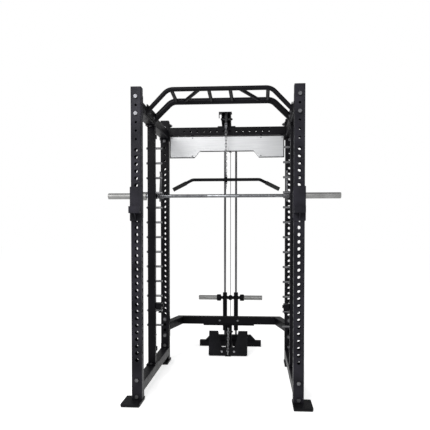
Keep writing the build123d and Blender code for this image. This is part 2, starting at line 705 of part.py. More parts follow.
with BuildPart() as lat_guide_rods:
    for side in (-1, 1):
        rod(along_z(side * LAT_ROD_X, LAT_ROD_DEPTH, TOWER_SEAT_Z), LAT_ROD_D, HEAD_TOP_Z - TOWER_SEAT_Z)
save(lat_guide_rods, "lat_guide_rods")

TOWER_HALF = 326.0
TOWER_FRONT = 2060.0

with BuildPart() as tower_base:
    middle = (TOWER_FRONT + TOWER_REACH) / 2
    with BuildSketch(Plane((0, y_at(middle), 0), x_dir=(0, 1, 0), z_dir=(1, 0, 0))) as foot_section:
        with Locations((0, TOWER_TUBE_H / 2)):
            RectangleRounded(TOWER_REACH - TOWER_FRONT, TOWER_TUBE_H, CORNER)
            RectangleRounded(TOWER_REACH - TOWER_FRONT - 2 * WALL, TOWER_TUBE_H - 2 * WALL, 3, mode=Mode.SUBTRACT)
    extrude(foot_section.sketch, amount=TOWER_HALF, both=True)
    for depth in (2070.0, 2122.0):
        with BuildSketch(along_y(0, depth, 0)) as gusset:
            with BuildLine():
                Polyline((-270, -TOWER_TUBE_H + 1), (-215, -TOWER_SEAT_Z), (215, -TOWER_SEAT_Z),
                         (270, -TOWER_TUBE_H + 1), close=True)
            make_face()
        extrude(gusset.sketch, amount=FLANGE)
    block((-215, 2078, TOWER_SEAT_Z - FLANGE), (215, 2122, TOWER_SEAT_Z))
save(tower_base, "tower_base")

# column under the low crossbeam, its floor rail, back plate and pulley cheeks
COLUMN = 60.0
COLUMN_DEPTH = LOW_BEAM_DEPTH + TUBE / 2

with BuildPart() as base_column:
    tube(along_y(0, FOOT_PLATE_LOW[0] - 20, COLUMN / 2), COLUMN, TOWER_FRONT - FOOT_PLATE_LOW[0] + 20, WALL, 5)
    split(bisect_by=foot_plate_plane(0, FOOT_PLATE_SIZE[2] + FLANGE / 2), keep=Keep.TOP)
    column_top = LOW_BEAM_Z - TUBE / 2 - LOW_PLATE_THICK
    tube(along_z(0, COLUMN_DEPTH, COLUMN - 1), COLUMN, column_top - COLUMN + 1, WALL, 5)
    plate(foot_plate_plane(FOOT_BOLT_UP, FOOT_PLATE_SIZE[2]), 150, 56, FLANGE)
    for side in (-1, 1):
        rod(foot_plate_plane(FOOT_BOLT_UP, 0, side * FOOT_BOLT_X), 13, 30, Mode.SUBTRACT)
    back = LOW_BEAM_DEPTH + TUBE
    block((-115, back, column_top), (115, back + FLANGE, LOW_BEAM_Z + 25))
    block((-30, COLUMN_DEPTH + 29, column_top - 60), (30, back + FLANGE, column_top))
    for side in (-1, 1):
        rod(along_y(side * BEAM_BOLT_X, back, LOW_BEAM_Z), 13, FLANGE, Mode.SUBTRACT)
    for x in (-LOW_CHEEK_X - CHEEK, LOW_CHEEK_X):
        with BuildSketch(along_x(x, 0, 0)) as cheek:
            with BuildLine():
                Polyline((1726, 180), (1726, 276), (1640, 276), (1640, 240), (1660, 190), close=True)
            make_face()
            with Locations(LOW_PULLEY):
                Circle(AXLE_D / 2, mode=Mode.SUBTRACT)
        extrude(cheek.sketch, amount=CHEEK)
save(base_column, "base_column")

NOTCH_TOP_HALF = 100.0
NOTCH_LOW_HALF = 68.0
NOTCH_LOW = 88.0

with BuildPart() as foot_plate:
    with BuildSketch(foot_plate_plane()) as outline:
        half, high = FOOT_PLATE_SIZE[0] / 2, FOOT_PLATE_SIZE[1]
        with BuildLine():
            Polyline((-half + 8, 0), (-half, -12), (-half, -high), (-NOTCH_TOP_HALF, -high),
                     (-NOTCH_LOW_HALF, -NOTCH_LOW), (NOTCH_LOW_HALF, -NOTCH_LOW), (NOTCH_TOP_HALF, -high),
                     (half, -high), (half, -12), (half - 8, 0), close=True)
        make_face()
        notch_corners = [v for v in outline.vertices() if abs(v.X) < NOTCH_LOW_HALF + 2]
        fillet(notch_corners, 20)
        for side in (-1, 1):
            with Locations((side * FOOT_BOLT_X, -FOOT_BOLT_UP)):
                Circle(6.5, mode=Mode.SUBTRACT)
    extrude(outline.sketch, amount=FOOT_PLATE_SIZE[2])
save(foot_plate, "foot_plate")


# ------------------------------------------------------------------ pulleys, axles and cables
def pulley(centre, outer, groove):
    """Grooved pulley turning about X."""
    bore = AXLE_D / 2 + RUNNING_GAP
    rim, deep = outer / 2, groove / 2
    half = PULLEY_WIDTH / 2
    face = Plane((0, y_at(centre[0]), centre[1]), x_dir=(1, 0, 0), z_dir=(0, -1, 0))
    with BuildPart() as wheel:
        with BuildSketch(face) as section:
            with BuildLine():
                Polyline((3.3, deep + 2), (9, rim), (11, rim), (11, rim - 11), (8, rim - 14), (8, 18),
                         (half, 16), (half, bore), (-half, bore), (-half, 16), (-8, 18), (-8, rim - 14),
                         (-11, rim - 11), (-11, rim), (-9, rim), (-3.3, deep + 2))
                ThreePointArc((-3.3, deep + 2), (0, deep - 0.1), (3.3, deep + 2))
            make_face()
        axis = Axis(face.origin, (1, 0, 0))
        revolve(section.sketch, axis=axis)
    return wheel


save(pulley(FRONT_PULLEY, PULLEY_D, GROOVE_D), "pulley_front")
save(pulley(REAR_PULLEY, PULLEY_D, GROOVE_D), "pulley_rear")
save(pulley(LOW_PULLEY, LOW_PULLEY_D, LOW_PULLEY_D - 12), "pulley_low")

with BuildPart() as pulley_axles:
    for centre, cheek_x in ((FRONT_PULLEY, FRONT_CHEEK_X), (REAR_PULLEY, REAR_CHEEK_X), (LOW_PULLEY, LOW_CHEEK_X)):
        outside = cheek_x + CHEEK
        bolt(along_x(-outside, *centre), 2 * outside, AXLE_D)
        nut(along_x(-outside, *centre), 2 * outside, AXLE_D)
        gap = cheek_x - PULLEY_WIDTH / 2 - 0.3
        ring(along_x(-cheek_x, *centre), 20, AXLE_D, gap)
        ring(along_x(cheek_x - gap, *centre), 20, AXLE_D, gap)
save(pulley_axles, "pulley_axles")

# the cable leaves both top pulleys along their common tangent
tangent_turn = atan2(FRONT_PULLEY[1] - REAR_PULLEY[1], REAR_PULLEY[0] - FRONT_PULLEY[0])


def on_pulley(centre, angle):
    """Point on the cable's line round a pulley; 0 is the top, positive turns to the front."""
    return (0, y_at(centre[0] - CABLE_RADIUS * sin(angle)), centre[1] + CABLE_RADIUS * cos(angle))


quarter = radians(90)

# low cable: out of the floor rail, over the low pulley and forward to its end ball
LOW_CABLE_RADIUS = (LOW_PULLEY_D - 12 + CABLE_D) / 2
LOW_BALL = (1631.0, 262.0)      # depth, height
LOW_BALL_D = 22.0


def on_low_pulley(angle):
    """Point on the cable's line round the low pulley; 0 is the top, positive turns to the front."""
    depth, z = LOW_PULLEY
    return (0, y_at(depth - LOW_CABLE_RADIUS * sin(angle)), z + LOW_CABLE_RADIUS * cos(angle))


with BuildPart() as cable_runs:
    with BuildLine() as top_route:
        ThreePointArc(on_pulley(FRONT_PULLEY, quarter), on_pulley(FRONT_PULLEY, (quarter - tangent_turn) / 2),
                      on_pulley(FRONT_PULLEY, -tangent_turn))
        Line(on_pulley(FRONT_PULLEY, -tangent_turn), on_pulley(REAR_PULLEY, -tangent_turn))
        ThreePointArc(on_pulley(REAR_PULLEY, -tangent_turn), on_pulley(REAR_PULLEY, -(quarter + tangent_turn) / 2),
                      on_pulley(REAR_PULLEY, -quarter))
    with BuildSketch(Plane(top_route.line @ 0, z_dir=top_route.line % 0)) as top_section:
        Circle(CABLE_D / 2)
    sweep(top_section.sketch, path=top_route.line)

    ball_away = Vector(LOW_PULLEY[0] - LOW_BALL[0], LOW_BALL[1] - LOW_PULLEY[1])
    leave = atan2(ball_away.X, ball_away.Y) - acos(LOW_CABLE_RADIUS / ball_away.length)
    back = on_low_pulley(-quarter)
    with BuildLine() as low_route:
        Line((0, back[1], COLUMN), back)
        ThreePointArc(back, on_low_pulley((leave - quarter) / 2), on_low_pulley(leave))
        Line(on_low_pulley(leave), (0, y_at(LOW_BALL[0]), LOW_BALL[1]))
    with BuildSketch(Plane((0, back[1], COLUMN), z_dir=(0, 0, 1))) as low_section:
        Circle(CABLE_D / 2)
    sweep(low_section.sketch, path=low_route.line)
    with Locations((0, y_at(LOW_BALL[0]), LOW_BALL[1])):
        Sphere(LOW_BALL_D / 2, mode=Mode.SUBTRACT)
save(cable_runs, "cable_runs")

HUB_D = 52.0
with BuildPart() as weight_cable:
    top_of_hub = WEIGHT_PEG_Z + HUB_D / 2
    rod(along_z(0, LAT_ROD_DEPTH, top_of_hub), CABLE_D, REAR_PULLEY[1] - top_of_hub)
save(weight_cable, "weight_cable")

with BuildPart() as low_cable:
    bottom_of_hub = WEIGHT_PEG_Z - HUB_D / 2
    rod(along_z(0, LAT_ROD_DEPTH, TOWER_SEAT_Z), CABLE_D, bottom_of_hub - TOWER_SEAT_Z)
save(low_cable, "low_cable")

LAT_DEPTH = FRONT_PULLEY[0] - CABLE_RADIUS
STOP_BALL_Z = 2196.0
STOP_BALL_D = 28.0
with BuildPart() as lat_cable:
    low = STOP_BALL_Z + STOP_BALL_D / 2 - 1
    rod(along_z(0, LAT_DEPTH, low), CABLE_D, FRONT_PULLEY[1] - low)
save(lat_cable, "lat_cable")


# ------------------------------------------------------------------ chains and carabiners
WIRE = 5.0
LINK_PITCH = 29.0
LINK_HALF = 7.5            # centre line half width
LINK_OVERHANG = WIRE + 0.2     # how far each end of a link passes its pitch point, less half a wire


def link(place):
    """One closed chain link centred on a place, its long way along the place's Z."""
    straight = LINK_PITCH / 2 + LINK_OVERHANG - LINK_HALF
    with BuildLine(place) as loop:
        Line((LINK_HALF, 0, -straight), (LINK_HALF, 0, straight))
        ThreePointArc((LINK_HALF, 0, straight), (0, 0, straight + LINK_HALF), (-LINK_HALF, 0, straight))
        Line((-LINK_HALF, 0, straight), (-LINK_HALF, 0, -straight))
        ThreePointArc((-LINK_HALF, 0, -straight), (0, 0, -straight - LINK_HALF), (LINK_HALF, 0, -straight))
    with BuildSketch(Plane(loop.line @ 0, z_dir=loop.line % 0)) as section:
        Circle(WIRE / 2)
    sweep(section.sketch, path=loop.line)


def chain(start, way, count):
    """Links along a straight run, each a quarter turn from the last."""
    step = way.normalized()
    side = Vector(1, 0, 0)
    for k in range(count):
        middle = start + step * (LINK_PITCH * (k + 0.5))
        link(Plane(middle, x_dir=side if k % 2 == 0 else step.cross(side), z_dir=step))
    return start + step * (LINK_PITCH * count)


def carabiner(depth, low_z, high_z, half=12.0, wire=8.0, gate=1):
    """Closed snap hook standing in the YZ plane, its screw gate behind (1) or in front (-1)."""
    top, bottom = high_z - wire / 2 - half, low_z + wire / 2 + half
    y = y_at(depth)
    with BuildLine() as loop:
        Line((0, y + half, bottom), (0, y + half, top))
        ThreePointArc((0, y + half, top), (0, y, top + half), (0, y - half, top))
        Line((0, y - half, top), (0, y - half, bottom))
        ThreePointArc((0, y - half, bottom), (0, y, bottom - half), (0, y + half, bottom))
    with BuildSketch(Plane((0, y + half, bottom), z_dir=(0, 0, 1))) as wire_section:
        Circle(wire / 2)
    sweep(wire_section.sketch, path=loop.line)
    rod(along_z(0, depth + gate * half, (top + bottom) / 2 - 8), wire + 5, 16)


LAT_LINKS = 13
LAT_CHAIN_LOW_Z = LAT_CHAIN_TOP_Z - LAT_LINKS * LINK_PITCH
with BuildPart() as lat_chain:
    chain(Vector(0, y_at(LAT_DEPTH), LAT_CHAIN_TOP_Z), Vector(0, 0, -1), LAT_LINKS)
save(lat_chain, "lat_chain")

EYE_Z = LAT_BAR_Z + 30
LOW_EYE_Z = LAT_BAR_Z - 30
STOP_EYE_Z = 2167.0
with BuildPart() as lat_fittings:
    carabiner(LAT_DEPTH, LAT_CHAIN_TOP_Z - 6, STOP_EYE_Z + 5)
    carabiner(LAT_DEPTH, EYE_Z - 4, LAT_CHAIN_LOW_Z + 6)
    carabiner(LAT_DEPTH, LOW_EYE_Z - 58, LOW_EYE_Z + 4)
    with Locations((0, y_at(LAT_DEPTH), STOP_BALL_Z)):
        Sphere(STOP_BALL_D / 2)
    rod(along_z(0, LAT_DEPTH, STOP_BALL_Z + STOP_BALL_D / 2 - 1), CABLE_D, 3, Mode.SUBTRACT)
    with BuildSketch(along_y(0, LAT_DEPTH - 2.5, STOP_EYE_Z + 6)) as eye:
        SlotOverall(38, 20, rotation=90)
        with Locations((0, 6)):
            Circle(6.5, mode=Mode.SUBTRACT)
    extrude(eye.sketch, amount=5)
save(lat_fittings, "lat_fittings")

CHAIN_TOP = Vector(0, y_at(1620), 240)
CHAIN_KNEE_WAY = Vector(0, -46.4, -111.5)
with BuildPart() as low_chain:
    knee = chain(CHAIN_TOP, CHAIN_KNEE_WAY, 4)
    hook_top = chain(knee, Vector(0, -34, -76), 3)
    carabiner(hook_top.Y + DEPTH_CENTRE - 1, hook_top.Z - 35, hook_top.Z + 6, 9, 6, -1)
    with Locations((0, y_at(LOW_BALL[0]), LOW_BALL[1])):
        Sphere(LOW_BALL_D / 2)
    link_top = CHAIN_TOP - CHAIN_KNEE_WAY.normalized() * (LINK_OVERHANG - WIRE / 2 + 2)
    with BuildSketch(along_x(-2.5, link_top.Y + DEPTH_CENTRE, link_top.Z)) as low_eye:
        Circle(10.5)
        Circle(5.5, mode=Mode.SUBTRACT)
    extrude(low_eye.sketch, amount=5)
save(low_chain, "low_chain")


# ------------------------------------------------------------------ lat bar
LAT_BAR_D = 28.0
LAT_TIP = (476.0, 1606.0)
LAT_CORNER_X = 304.0
LAT_GRIP = 130.0

with BuildPart() as lat_bar:
    half_bar = [(LAT_TIP[0], y_at(LAT_DEPTH), LAT_TIP[1]), (LAT_CORNER_X, y_at(LAT_DEPTH), LAT_BAR_Z)]
    bent_bar([(-x, y, z) for x, y, z in half_bar] + half_bar[::-1], 60, LAT_BAR_D)
    with BuildSketch(along_y(0, LAT_DEPTH - 4, LAT_BAR_Z)) as eyes:
        SlotOverall(84, 24, rotation=90)
        with Locations((0, EYE_Z - LAT_BAR_Z), (0, LOW_EYE_Z - LAT_BAR_Z)):
            Circle(6.5, mode=Mode.SUBTRACT)
    extrude(eyes.sketch, amount=8)
save(lat_bar, "lat_bar")

with BuildPart() as lat_bar_grips:
    for side in (-1, 1):
        tip = Vector(side * LAT_TIP[0], y_at(LAT_DEPTH), LAT_TIP[1])
        inboard = Vector(side * (LAT_CORNER_X - LAT_TIP[0]), 0, LAT_BAR_Z - LAT_TIP[1]).normalized()
        ring(Plane(tip, z_dir=inboard), LAT_BAR_D + 8, LAT_BAR_D, LAT_GRIP)
        rod(Plane(tip - inboard * 5, z_dir=inboard), LAT_BAR_D + 8, 5)
save(lat_bar_grips, "lat_bar_grips")


# ------------------------------------------------------------------ weight carriage
CARRIAGE_SLEEVE_D = 46.0
WEIGHT_PEG_D = 48.0
PEG_COLLAR_X = (100.0, 145.0)
WEIGHT_PEG_END_X = 338.0

with BuildPart() as weight_carriage:
    for side in (-1, 1):
        rod(along_z(side * LAT_ROD_X, LAT_ROD_DEPTH, CARRIAGE_LOW_Z), CARRIAGE_SLEEVE_D,
            CARRIAGE_HIGH_Z - CARRIAGE_LOW_Z)
    rod(along_x(-PEG_COLLAR_X[0], LAT_ROD_DEPTH, WEIGHT_PEG_Z), 34, 2 * PEG_COLLAR_X[0])
    rod(along_y(0, LAT_ROD_DEPTH - 20, WEIGHT_PEG_Z), HUB_D, 40)
    for x in (-PEG_COLLAR_X[1], PEG_COLLAR_X[0]):
        rod(along_x(x, LAT_ROD_DEPTH, WEIGHT_PEG_Z), 70, PEG_COLLAR_X[1] - PEG_COLLAR_X[0])
    for side in (-1, 1):
        bore = LAT_ROD_D + 2 * RUNNING_GAP
        rod(along_z(side * LAT_ROD_X, LAT_ROD_DEPTH, CARRIAGE_LOW_Z - 1), bore,
            CARRIAGE_HIGH_Z - CARRIAGE_LOW_Z + 2, Mode.SUBTRACT)
    collar_face = [e for e in weight_carriage.edges().filter_by(GeomType.CIRCLE) if abs(e.radius - 35) < 0.1]
    chamfer(collar_face, 6)
save(weight_carriage, "weight_carriage")

with BuildPart() as weight_pegs:
    for start in (-WEIGHT_PEG_END_X, PEG_COLLAR_X[1]):
        rod(along_x(start, LAT_ROD_DEPTH, WEIGHT_PEG_Z), WEIGHT_PEG_D, WEIGHT_PEG_END_X - PEG_COLLAR_X[1])
    chamfer(weight_pegs.edges().group_by(Axis.X)[0] + weight_pegs.edges().group_by(Axis.X)[-1], 3)
save(weight_pegs, "weight_pegs")


# ------------------------------------------------------------------ Smith bar and its carriages
HOUSING_D = 50.0
HOUSING_LOW_Z = 1434.0
HOUSING_HIGH_Z = 1615.0
BOSS_D = 48.0
BOSS_HALF = 27.0
COLLAR_D = 70.0
COLLAR_X = (640.0, 670.0)

with BuildPart() as smith_carriages:
    for side in (-1, 1):
        x = side * UPRIGHT_X
        ring(along_z(x, GUIDE_ROD_DEPTH, HOUSING_LOW_Z), HOUSING_D, GUIDE_ROD_D + 2 * RUNNING_GAP,
             HOUSING_HIGH_Z - HOUSING_LOW_Z)
        block((x - 15, GUIDE_ROD_DEPTH + 17, BAR_Z - 36), (x + 15, BAR_DEPTH - 17, BAR_Z + 36))
        ring(along_x(x - BOSS_HALF, BAR_DEPTH, BAR_Z), BOSS_D, BAR_D + 2 * RUNNING_GAP, 2 * BOSS_HALF)
save(smith_carriages, "smith_carriages")

with BuildPart() as smith_bar:
    rod(along_x(12 - BAR_LENGTH / 2, BAR_DEPTH, BAR_Z), BAR_D, BAR_LENGTH - 24)
save(smith_bar, "smith_bar")

with BuildPart() as smith_sleeves:
    for side in (-1, 1):
        outer_face = Plane((side * BAR_LENGTH / 2, y_at(BAR_DEPTH), BAR_Z), x_dir=(0, 1, 0), z_dir=(-side, 0, 0))
        rod(outer_face, SLEEVE_D, SLEEVE_LENGTH)
        rod(outer_face.offset(BAR_LENGTH / 2 - COLLAR_X[1]), COLLAR_D, COLLAR_X[1] - COLLAR_X[0])
        rod(outer_face.offset(12), BAR_D, BAR_LENGTH / 2 - COLLAR_X[0], Mode.SUBTRACT)
    ends = smith_sleeves.edges().group_by(Axis.X)
    chamfer(ends[0] + ends[-1], 3)
save(smith_sleeves, "smith_sleeves")

# each hook turns with the bar; its slot runs round the bar's axis so it can swing onto a peg
CAUGHT_PEG = (POST_DEPTH - BAR_DEPTH, PEG_ROWS[2] - BAR_Z)
CATCH_RADIUS = hypot(*CAUGHT_PEG)
STORED_ANGLE = degrees(atan2(CAUGHT_PEG[1], CAUGHT_PEG[0])) - HOOK_TURN
SLOT_WIDTH = PEG_D + 4
HOOK_BAND = 58.0

with BuildPart() as smith_hooks:
    for side in (-1, 1):
        mid_plane = along_x(side * HOOK_X, BAR_DEPTH, BAR_Z).offset(-HOOK_THICK / 2)
        with BuildSketch(mid_plane) as hook:
            inner, outer = CATCH_RADIUS - HOOK_BAND / 2, CATCH_RADIUS + HOOK_BAND / 2
            with PolarLocations(CATCH_RADIUS, 1, STORED_ANGLE - 4):
                Rectangle(HOOK_BAND, 52)
            with PolarLocations(inner / 2, 1, STORED_ANGLE - 10):
                Rectangle(inner + 18, 30)
            Circle(25)
            with Locations((6, -26)):
                Rectangle(18, 40)
            with PolarLocations(CATCH_RADIUS, 1, STORED_ANGLE):
                Circle(SLOT_WIDTH / 2, mode=Mode.SUBTRACT)
            with BuildLine():
                CenterArc((0, 0), CATCH_RADIUS - SLOT_WIDTH / 2, STORED_ANGLE, 25)
                turned = STORED_ANGLE + 25
                Line((CATCH_RADIUS - SLOT_WIDTH / 2) * Vector(cos(radians(turned)), sin(radians(turned))),
                     (CATCH_RADIUS + SLOT_WIDTH / 2) * Vector(cos(radians(turned)), sin(radians(turned))))
                CenterArc((0, 0), CATCH_RADIUS + SLOT_WIDTH / 2, STORED_ANGLE, 25)
                stored = Vector(cos(radians(STORED_ANGLE)), sin(radians(STORED_ANGLE)))
                Line((CATCH_RADIUS - SLOT_WIDTH / 2) * stored, (CATCH_RADIUS + SLOT_WIDTH / 2) * stored)
            make_face(mode=Mode.SUBTRACT)
        extrude(hook.sketch, amount=HOOK_THICK)
        hub = sorted((side * (HOOK_X - 30), side * (HOOK_X + 16)))
        rod(along_x(hub[0], BAR_DEPTH, BAR_Z), 44, hub[1] - hub[0])
    rod(along_x(-700, BAR_DEPTH, BAR_Z), BAR_D, 1400, Mode.SUBTRACT)
save(smith_hooks, "smith_hooks")


# ------------------------------------------------------------------ safety stops on the guide rods
STOP_LOW_Z = 555.0
STOP_HIGH_Z = 638.0
STOP_PEG_Z = PEG_ROWS[11]
FINGER_INNER_X = 497.0
FINGER_OUTER_X = 541.0


def safety_stop(side):
    """Sleeve turning on the guide rod with a finger that hooks round a peg."""
    def across(low, high):
        return (min(side * low, side * high), max(side * low, side * high))

    finger = across(FINGER_INNER_X, FINGER_OUTER_X)
    neck = across(FINGER_OUTER_X - 1, UPRIGHT_X - 18)
    lip = across(FINGER_INNER_X + 4, FINGER_INNER_X + 24)
    peg_top = STOP_PEG_Z + PEG_D / 2 + 2
    peg_low = STOP_PEG_Z - PEG_D / 2 - 2
    with BuildPart() as stop:
        rod(along_z(side * UPRIGHT_X, GUIDE_ROD_DEPTH, STOP_LOW_Z), 50, STOP_HIGH_Z - STOP_LOW_Z)
        block((finger[0], 600, peg_top), (finger[1], 690, STOP_HIGH_Z))
        block((neck[0], 652, peg_top), (neck[1], 690, STOP_HIGH_Z))
        block((lip[0], POST_DEPTH + PEG_D / 2 + 3, peg_low - 9), (lip[1], 660, peg_top + 1))
        block((lip[0], 606, peg_low - 9), (lip[1], 660, peg_low))
        boss = across(FINGER_INNER_X - 10, FINGER_INNER_X + 1)
        rod(along_x(boss[0], 640, STOP_HIGH_Z - 20), 26, boss[1] - boss[0])
        rod(along_z(side * UPRIGHT_X, GUIDE_ROD_DEPTH, STOP_LOW_Z - 1), GUIDE_ROD_D + 2 * RUNNING_GAP,
            STOP_HIGH_Z - STOP_LOW_Z + 2, Mode.SUBTRACT)
    return stop


save(safety_stop(-1), "safety_stop_left")
save(safety_stop(1), "safety_stop_right")


# ------------------------------------------------------------------ J-cups
CUP_GAP = 0.3
CUP_PLATE = 6.0
CUP_LOW_Z = 1300.0
CUP_HIGH_Z = 1545.0
CUP_SHELF_Z = 1370.0
CUP_LIP_Z = 1404.0
CUP_REACH = 76.0
CUP_HALF = 39.0
CUP_PIN_D = 24.0
CUP_PIN_ROWS = (6, 9)


def jcup(side):
    """Bar rest: a channel round the upright, two pins, a shelf with a lip and a rib under it."""
    x = side * UPRIGHT_X
    wide = TUBE / 2 + CUP_GAP + CUP_PLATE
    front = -CUP_GAP - CUP_PLATE
    with BuildPart() as cup:
        plate(along_y(x, front, (CUP_LOW_Z + CUP_HIGH_Z) / 2), 2 * wide, CUP_HIGH_Z - CUP_LOW_Z, CUP_PLATE, 8)
        for cheek in (-wide, wide - CUP_PLATE):
            block((x + cheek, front, CUP_LOW_Z + 25), (x + cheek + CUP_PLATE, 45, CUP_HIGH_Z - 35))
        block((x - CUP_HALF, -CUP_REACH, CUP_SHELF_Z - 14), (x + CUP_HALF, front + 1, CUP_SHELF_Z))
        block((x - CUP_HALF, -CUP_REACH, CUP_SHELF_Z - 1), (x + CUP_HALF, -CUP_REACH + 10, CUP_LIP_Z))
        with BuildSketch(along_x(x - 4, 0, 0)) as rib:
            with BuildLine():
                Polyline((front + 1, CUP_LOW_Z + 3), (front + 1, CUP_SHELF_Z - 13),
                         (-CUP_REACH + 12, CUP_SHELF_Z - 13), close=True)
            make_face()
        extrude(rib.sketch, amount=8)
        for row in CUP_PIN_ROWS:
            rod(along_y(x, front + 1, PIN_TOP_Z - PIN_PITCH * row), CUP_PIN_D, 20 - front - 1)
    return cup


save(jcup(-1), "jcup_left")
save(jcup(1), "jcup_right")
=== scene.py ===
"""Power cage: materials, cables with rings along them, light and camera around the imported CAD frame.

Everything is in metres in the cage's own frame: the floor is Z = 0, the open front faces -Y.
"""

import json
import math

import bpy
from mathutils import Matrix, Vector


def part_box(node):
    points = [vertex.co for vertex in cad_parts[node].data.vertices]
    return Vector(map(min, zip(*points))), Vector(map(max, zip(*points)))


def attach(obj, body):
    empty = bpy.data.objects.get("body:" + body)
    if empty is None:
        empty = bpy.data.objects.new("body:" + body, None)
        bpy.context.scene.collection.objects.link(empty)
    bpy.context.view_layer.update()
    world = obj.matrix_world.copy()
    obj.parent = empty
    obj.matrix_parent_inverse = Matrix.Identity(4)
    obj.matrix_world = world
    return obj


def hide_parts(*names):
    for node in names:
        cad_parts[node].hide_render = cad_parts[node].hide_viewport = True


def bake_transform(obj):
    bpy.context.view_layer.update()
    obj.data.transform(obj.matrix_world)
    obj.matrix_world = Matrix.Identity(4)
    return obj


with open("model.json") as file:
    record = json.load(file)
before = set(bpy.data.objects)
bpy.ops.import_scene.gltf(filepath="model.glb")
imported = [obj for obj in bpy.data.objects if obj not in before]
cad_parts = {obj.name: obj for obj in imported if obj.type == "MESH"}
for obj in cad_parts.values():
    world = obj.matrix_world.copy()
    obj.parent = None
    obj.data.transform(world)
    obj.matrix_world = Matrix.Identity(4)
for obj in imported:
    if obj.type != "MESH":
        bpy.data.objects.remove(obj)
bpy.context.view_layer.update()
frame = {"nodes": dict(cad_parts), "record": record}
nodes = frame["nodes"]


# ---------------------------------------------------------------- camera
CAMERA_PLACE = (0.2817, -5.0653, 1.2356)
CAMERA_LEFT = math.radians(4.41)       # turned left of straight ahead
CAMERA_DOWN = math.radians(1.83)
CAMERA_LENS = 48.4
CAMERA_SHIFT = (0.0059, 0.0785)

camera_data = bpy.data.cameras.new("camera")
camera_data.lens = CAMERA_LENS
camera_data.sensor_width = 36.0
camera_data.shift_x, camera_data.shift_y = CAMERA_SHIFT
camera_data.clip_end = 100.0
camera = bpy.data.objects.new("camera", camera_data)
camera.location = CAMERA_PLACE
camera.rotation_euler = (math.pi / 2 - CAMERA_DOWN, 0.0, CAMERA_LEFT)
bpy.context.scene.collection.objects.link(camera)
bpy.context.scene.camera = camera
bpy.context.scene.view_settings.view_transform = "Standard"


# ---------------------------------------------------------------- node helpers
def add_node(tree, kind, **inputs):
    """New shader node with some of its sockets set or linked."""
    node = tree.nodes.new(kind)
    for name, value in inputs.items():
        socket = node.inputs[name.replace("_", " ")]
        if isinstance(value, bpy.types.NodeSocket):
            tree.links.new(value, socket)
        else:
            socket.default_value = value
    return node


def start_material(name, metallic, specular=0.5, coat=0.0):
    """Empty material with its shader, and the object's own coordinates for its patterns."""
    material = bpy.data.materials.new(name)
    material.use_nodes = True
    tree = material.node_tree
    shader = tree.nodes["Principled BSDF"]
    shader.inputs["Metallic"].default_value = metallic
    shader.inputs["Specular IOR Level"].default_value = specular
    shader.inputs["Coat Weight"].default_value = coat
    place = tree.nodes.new("ShaderNodeTexCoord").outputs["Object"]
    return material, tree, shader, place


def noise(tree, place, scale, detail=2.0, stretch=(1.0, 1.0, 1.0)):
    """Noise value over the object; stretch scales it along each axis."""
    mapping = add_node(tree, "ShaderNodeMapping", Vector=place, Scale=stretch)
    texture = add_node(tree, "ShaderNodeTexNoise", Vector=mapping.outputs[0], Scale=scale, Detail=detail)
    return texture.outputs[0]


def ranged(tree, value, low, high, new_low, new_high):
    """Value moved from one range to another and held inside it."""
    node = tree.nodes.new("ShaderNodeMapRange")
    tree.links.new(value, node.inputs["Value"])
    for name, number in (("From Min", low), ("From Max", high), ("To Min", new_low), ("To Max", new_high)):
        node.inputs[name].default_value = number
    return node.outputs[0]


def colour_between(tree, value, dark, light, low=0.3, high=0.7):
    """Colour that runs from dark to light as the value rises."""
    ramp = tree.nodes.new("ShaderNodeValToRGB")
    ramp.color_ramp.elements[0].position = low
    ramp.color_ramp.elements[0].color = (*dark, 1)
    ramp.color_ramp.elements[1].position = high
    ramp.color_ramp.elements[1].color = (*light, 1)
    tree.links.new(value, ramp.inputs[0])
    return ramp.outputs[0]


def mixed(tree, amount, first, second):
    """Second colour laid over the first by an amount."""
    node = tree.nodes.new("ShaderNodeMix")
    node.data_type = "RGBA"
    tree.links.new(amount, node.inputs["Factor"])
    for socket, colour in ((node.inputs[6], first), (node.inputs[7], second)):
        if isinstance(colour, bpy.types.NodeSocket):
            tree.links.new(colour, socket)
        else:
            socket.default_value = (*colour, 1)
    return node.outputs[2]


def combined(tree, operation, first, second):
    """Math on two values."""
    node = tree.nodes.new("ShaderNodeMath")
    node.operation = operation
    for socket, value in zip(node.inputs, (first, second)):
        if isinstance(value, bpy.types.NodeSocket):
            tree.links.new(value, socket)
        else:
            socket.default_value = value
    return node.outputs[0]


def bumped(tree, shader, height, distance):
    """Bump of full strength on the shader's normal; distance is its height in metres."""
    bump = add_node(tree, "ShaderNodeBump", Height=height, Distance=distance, Strength=1.0)
    tree.links.new(bump.outputs[0], shader.inputs["Normal"])


def from_middle(tree, place):
    """Distance from the cage's middle plane X = 0."""
    apart = add_node(tree, "ShaderNodeSeparateXYZ", Vector=place)
    return combined(tree, "ABSOLUTE", apart.outputs["X"], 0.0)


def edge_mask(tree, radius):
    """Near 1 along sharp edges, where paint wears first."""
    bevel = tree.nodes.new("ShaderNodeBevel")
    bevel.samples = 4
    bevel.inputs["Radius"].default_value = radius
    normal = tree.nodes.new("ShaderNodeNewGeometry").outputs["Normal"]
    dot = tree.nodes.new("ShaderNodeVectorMath")
    dot.operation = "DOT_PRODUCT"
    tree.links.new(bevel.outputs[0], dot.inputs[0])
    tree.links.new(normal, dot.inputs[1])
    return ranged(tree, dot.outputs["Value"], 0.97, 0.75, 0.0, 1.0)


# ---------------------------------------------------------------- materials
WEAR_RADIUS = 0.0015                   # how far from an edge the paint wears
GRIP_FROM, GRIP_TO = 0.13, 0.425       # the knurled stretch of the bar, each side of its middle
KNURL_TURN = 0.55                      # slant of the knurling, in radians
PANEL_SHADE_FROM, PANEL_SHADE_TO = 0.28, 0.53   # where painted shade makes the header panel greyer, towards its ends
